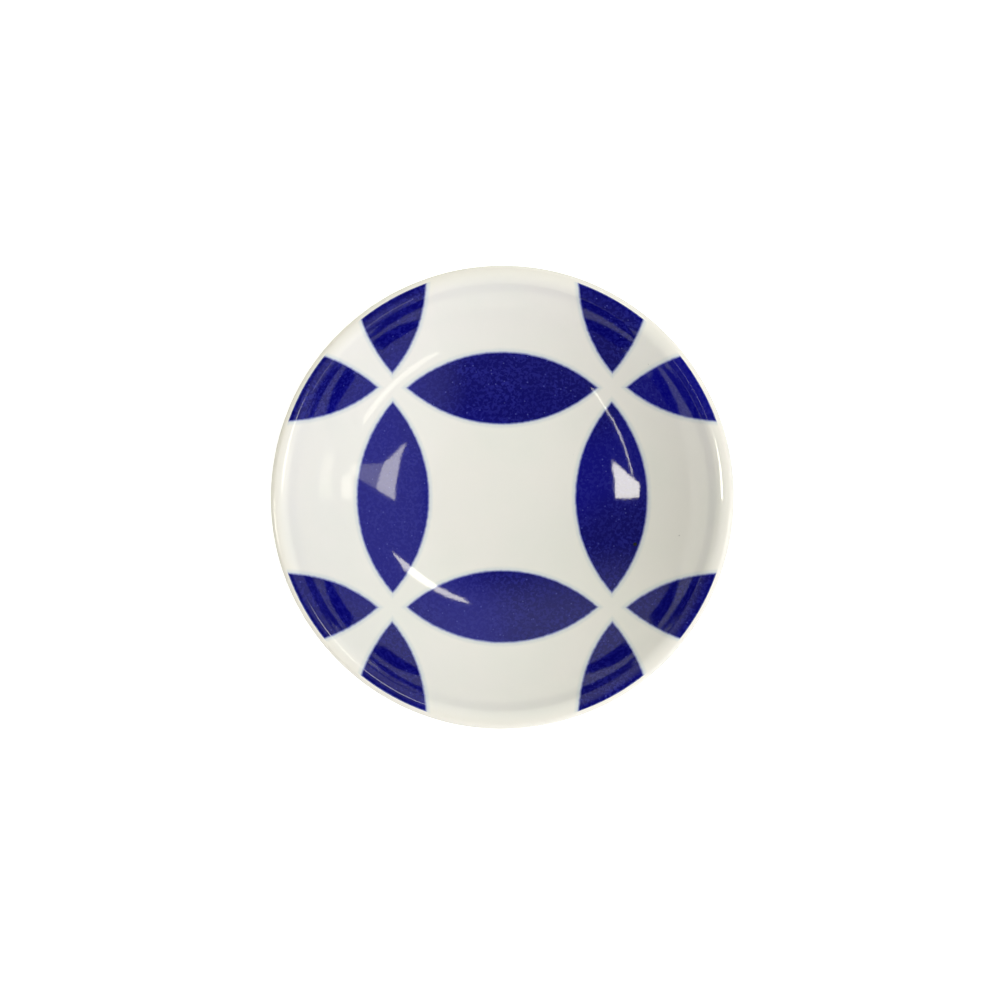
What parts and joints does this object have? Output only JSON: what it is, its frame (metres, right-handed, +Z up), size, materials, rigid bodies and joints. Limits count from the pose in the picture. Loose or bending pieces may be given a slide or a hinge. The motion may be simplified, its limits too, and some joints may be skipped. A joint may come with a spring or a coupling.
{
  "type": "soy sauce dish",
  "caption": "Small round white porcelain sauce dish on a foot ring, glazed, with cobalt-blue interlocking-circle petals inside, for soy sauce and other dips.",
  "frame": {"origin": "centre of the foot ring, on the plane that the dish stands on", "axes": "+Z up along the axis of the dish, +X and +Y through the middles of two of the petals round the centre"},
  "size_m": [0.091, 0.091, 0.026],
  "materials": {
    "biscuit_porcelain": "unglazed, sponged smooth, matt",
    "clear_glaze": "clear glossy glaze over white porcelain",
    "cobalt_glaze": "deep cobalt-blue glossy glaze"
  },
  "bodies": {
    "root": {"bowl_body": "biscuit_porcelain", "foot_ring": "biscuit_porcelain", "outside_glaze": "clear_glaze", "foot_well_glaze": "clear_glaze", "inside_glaze": "clear_glaze", "cobalt_centre_petal_1": "cobalt_glaze", "cobalt_centre_petal_2": "cobalt_glaze", "cobalt_centre_petal_3": "cobalt_glaze", "cobalt_centre_petal_4": "cobalt_glaze", "cobalt_rim_petal_1": "cobalt_glaze", "cobalt_rim_petal_2": "cobalt_glaze", "cobalt_rim_petal_3": "cobalt_glaze", "cobalt_rim_petal_4": "cobalt_glaze", "cobalt_rim_petal_5": "cobalt_glaze", "cobalt_rim_petal_6": "cobalt_glaze", "cobalt_rim_petal_7": "cobalt_glaze", "cobalt_rim_petal_8": "cobalt_glaze"}
  },
  "joints": []
}
